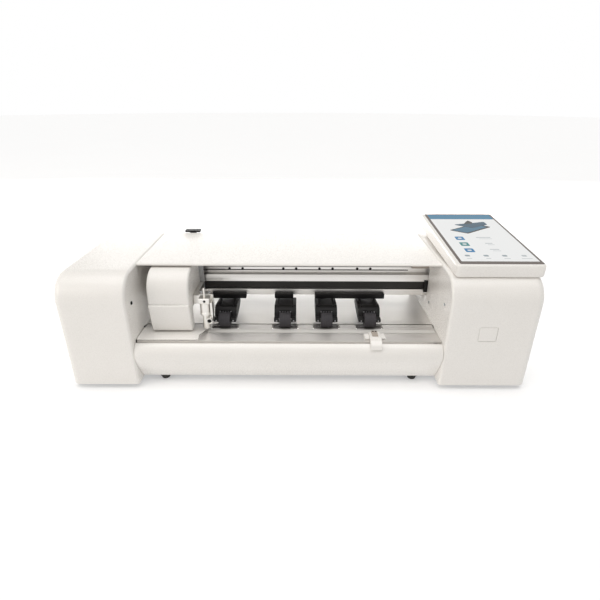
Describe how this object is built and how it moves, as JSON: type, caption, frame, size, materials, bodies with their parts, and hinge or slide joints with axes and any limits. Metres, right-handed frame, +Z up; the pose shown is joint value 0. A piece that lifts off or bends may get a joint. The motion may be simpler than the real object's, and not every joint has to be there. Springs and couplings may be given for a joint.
{
  "type": "vinyl cutter",
  "caption": "Desktop roll-feed film cutter: white side casings, a beam with a sliding blade carriage, rubber pinch wheels over a driven shaft, and a tilted touch screen.",
  "frame": {"origin": "centre of the machine's footprint, on the surface that its feet stand on", "axes": "+X to the machine's right as its user sees it, +Y from the front to the back, +Z up"},
  "size_m": [0.5404, 0.186, 0.1668],
  "materials": {
    "gloss_white_abs": "glossy moulded",
    "anodised_aluminium": "satin anodised",
    "ground_steel": "ground and polished",
    "zinc_plated_steel": "zinc plated sheet",
    "black_plastic": "fine textured",
    "black_rubber": "matt",
    "beige_plastic": "matt moulded",
    "cutting_mat_strip": "matt",
    "screen_glass": "polished cover glass",
    "circuit_board": "solder mask"
  },
  "bodies": {
    "frame": {"base_plate": "zinc_plated_steel", "left_frame": "zinc_plated_steel", "right_frame": "zinc_plated_steel", "left_casing": "gloss_white_abs", "right_casing": "gloss_white_abs", "card_plate": "gloss_white_abs", "top_cover": "gloss_white_abs", "rear_cover": "gloss_white_abs", "front_cover": "gloss_white_abs", "platen": "anodised_aluminium", "cutting_strip": "cutting_mat_strip", "rear_platen": "anodised_aluminium", "left_platen_cover": "gloss_white_abs", "beam": "anodised_aluminium", "linear_rail": "ground_steel", "end_stop": "beige_plastic", "carriage_belt": "black_rubber", "feed_belt": "black_rubber", "carriage_motor": "black_plastic", "feed_motor": "black_plastic", "idler_bracket": "zinc_plated_steel", "left_bearing": "ground_steel", "right_bearing": "ground_steel", "pinch_mount_1": "black_plastic", "pinch_mount_2": "black_plastic", "pinch_mount_3": "black_plastic", "main_board": "circuit_board", "power_inlet": "black_plastic", "switch_housing": "black_plastic", "screen_housing": "gloss_white_abs", "touch_screen": "screen_glass", "foot_1": "black_rubber", "foot_2": "black_rubber", "foot_3": "black_rubber", "foot_4": "black_rubber"},
    "carriage": {"carriage_plate": "zinc_plated_steel", "slide_block": "zinc_plated_steel", "carriage_cover_upper": "gloss_white_abs", "carriage_cover_lower": "gloss_white_abs", "tool_solenoid": "black_plastic", "tool_guide": "anodised_aluminium"},
    "tool": {"tool_slide": "anodised_aluminium", "blade_holder": "anodised_aluminium"},
    "tool_knob": {"clamp_knob": "anodised_aluminium"},
    "feed_roller": {"drive_shaft": "ground_steel", "shaft_pulley": "black_plastic"},
    "feed_pulley": {"feed_motor_pulley": "ground_steel"},
    "drive_pulley": {"belt_drive_pulley": "ground_steel"},
    "idler_pulley": {"belt_idler_pulley": "ground_steel"},
    "lift_lever": {"release_lever": "black_plastic"},
    "trimmer": {"trimmer_slider": "gloss_white_abs"},
    "rocker": {"power_rocker": "black_plastic"},
    "arm_1": {"pinch_arm_1": "black_plastic"},
    "wheel_1": {"pinch_wheel_1": "black_rubber"},
    "arm_2": {"pinch_arm_2": "black_plastic"},
    "wheel_2": {"pinch_wheel_2": "black_rubber"},
    "arm_3": {"pinch_arm_3": "black_plastic"},
    "wheel_3": {"pinch_wheel_3": "black_rubber"},
    "arm_4": {"pinch_arm_4": "black_plastic"},
    "wheel_4": {"pinch_wheel_4": "black_rubber"}
  },
  "joints": [
    {"name": "carriage_slide", "type": "slide", "parent": "frame", "child": "carriage", "axis": [1, 0, 0], "range_m": [0, 0.262]},
    {"name": "tool_press", "type": "slide", "parent": "carriage", "child": "tool", "axis": [0, 0, -1], "range_m": [0, 0.003], "stiffness_N_per_m": 150, "springref_m": -0.005},
    {"name": "clamp_turn", "type": "hinge", "parent": "tool", "child": "tool_knob", "pos_m": [-0.106, -0.0629, 0.0772], "axis": [0, -1, 0], "range_deg": [-180, 180]},
    {"name": "feed_spin", "type": "hinge", "parent": "frame", "child": "feed_roller", "pos_m": [0, -0.0441, 0.053], "axis": [1, 0, 0], "continuous": true},
    {"name": "feed_pulley_spin", "type": "hinge", "parent": "frame", "child": "feed_pulley", "pos_m": [0.191, 0.0554, 0.034], "axis": [1, 0, 0], "continuous": true},
    {"name": "drive_pulley_spin", "type": "hinge", "parent": "frame", "child": "drive_pulley", "pos_m": [0.195, 0.0104, 0.095], "axis": [0, 0, 1], "range_deg": [0, 2372]},
    {"name": "idler_pulley_spin", "type": "hinge", "parent": "frame", "child": "idler_pulley", "pos_m": [-0.206, 0.0104, 0.095], "axis": [0, 0, 1], "range_deg": [0, 2372]},
    {"name": "lever_lift", "type": "hinge", "parent": "frame", "child": "lift_lever", "pos_m": [0, 0.0564, 0.088], "axis": [-1, 0, 0], "range_deg": [0, 40]},
    {"name": "trimmer_slide", "type": "slide", "parent": "frame", "child": "trimmer", "axis": [1, 0, 0], "range_m": [-0.185, 0.063]},
    {"name": "rocker_tilt", "type": "hinge", "parent": "frame", "child": "rocker", "pos_m": [0.218, 0.0879, 0.074], "axis": [1, 0, 0], "range_deg": [-16, 0]},
    {"name": "arm_1_lift", "type": "hinge", "parent": "frame", "child": "arm_1", "pos_m": [-0.0915, -0.0006, 0.0735], "axis": [-1, 0, 0], "range_deg": [0, 6]},
    {"name": "wheel_1_spin", "type": "hinge", "parent": "arm_1", "child": "wheel_1", "pos_m": [-0.0915, -0.0441, 0.0683], "axis": [1, 0, 0], "continuous": true},
    {"name": "arm_2_lift", "type": "hinge", "parent": "frame", "child": "arm_2", "pos_m": [-0.0175, -0.0006, 0.0735], "axis": [-1, 0, 0], "range_deg": [0, 6]},
    {"name": "wheel_2_spin", "type": "hinge", "parent": "arm_2", "child": "wheel_2", "pos_m": [-0.0175, -0.0441, 0.0683], "axis": [1, 0, 0], "continuous": true},
    {"name": "arm_3_lift", "type": "hinge", "parent": "frame", "child": "arm_3", "pos_m": [0.0335, -0.0006, 0.0735], "axis": [-1, 0, 0], "range_deg": [0, 6]},
    {"name": "wheel_3_spin", "type": "hinge", "parent": "arm_3", "child": "wheel_3", "pos_m": [0.0335, -0.0441, 0.0683], "axis": [1, 0, 0], "continuous": true},
    {"name": "arm_4_lift", "type": "hinge", "parent": "frame", "child": "arm_4", "pos_m": [0.0865, -0.0006, 0.0735], "axis": [-1, 0, 0], "range_deg": [0, 6]},
    {"name": "wheel_4_spin", "type": "hinge", "parent": "arm_4", "child": "wheel_4", "pos_m": [0.0865, -0.0441, 0.0683], "axis": [1, 0, 0], "continuous": true}
  ],
  "couplings": [
    {"joint": "feed_pulley_spin", "follows": "feed_spin", "ratio": 2},
    {"joint": "drive_pulley_spin", "follows": "carriage_slide", "rad_per_m": 157},
    {"joint": "idler_pulley_spin", "follows": "carriage_slide", "rad_per_m": 157},
    {"joint": "arm_1_lift", "follows": "lever_lift", "ratio": 0.15},
    {"joint": "wheel_1_spin", "follows": "feed_spin", "ratio": -0.6667},
    {"joint": "arm_2_lift", "follows": "lever_lift", "ratio": 0.15},
    {"joint": "wheel_2_spin", "follows": "feed_spin", "ratio": -0.6667},
    {"joint": "arm_3_lift", "follows": "lever_lift", "ratio": 0.15},
    {"joint": "wheel_3_spin", "follows": "feed_spin", "ratio": -0.6667},
    {"joint": "arm_4_lift", "follows": "lever_lift", "ratio": 0.15},
    {"joint": "wheel_4_spin", "follows": "feed_spin", "ratio": -0.6667}
  ]
}
